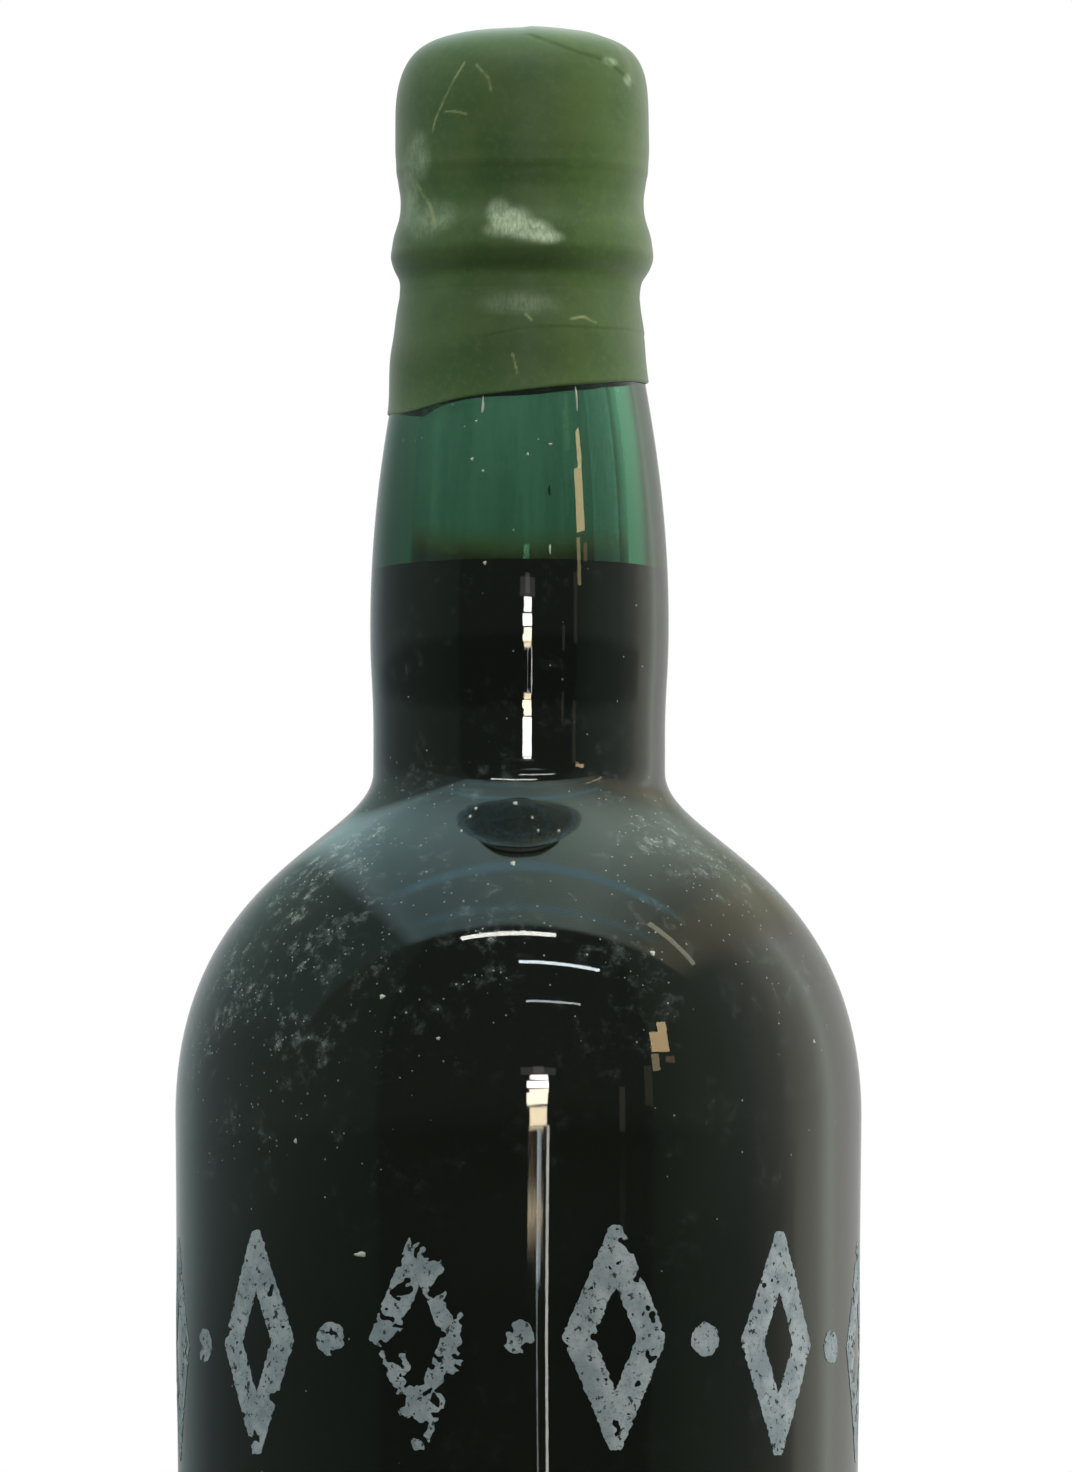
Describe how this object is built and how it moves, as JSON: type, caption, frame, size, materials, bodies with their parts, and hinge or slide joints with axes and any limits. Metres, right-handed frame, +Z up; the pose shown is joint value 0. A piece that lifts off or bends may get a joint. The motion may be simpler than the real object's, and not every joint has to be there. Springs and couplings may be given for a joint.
{
  "type": "wine bottle",
  "caption": "Dark glass wine bottle with a swelling neck and a punt, filled, closed by a driven cork and sealed with green wax over the mouth and neck.",
  "frame": {"origin": "middle of the foot, on the surface that the bottle stands on", "axes": "+Z up along the bottle's axis; the painted front faces -Y and the wax's slanted lower edge is higher towards +X"},
  "size_m": [0.0784, 0.0784, 0.3004],
  "materials": {
    "glass": "polished",
    "wine": "gloss",
    "cork": "matte",
    "wax": "satin"
  },
  "bodies": {
    "bottle": {"glass_bottle": "glass", "wine": "wine", "wax_skirt": "wax"},
    "cork": {"cork_stopper": "cork"},
    "wax_cap": {"wax_cap": "wax"}
  },
  "joints": [
    {"name": "cork_draw", "type": "slide", "parent": "bottle", "child": "cork", "axis": [0, 0, 1], "range_m": [0, 0.045]},
    {"name": "cap_lift", "type": "slide", "parent": "cork", "child": "wax_cap", "axis": [0, 0, 1], "range_m": [0, 0.03]}
  ]
}
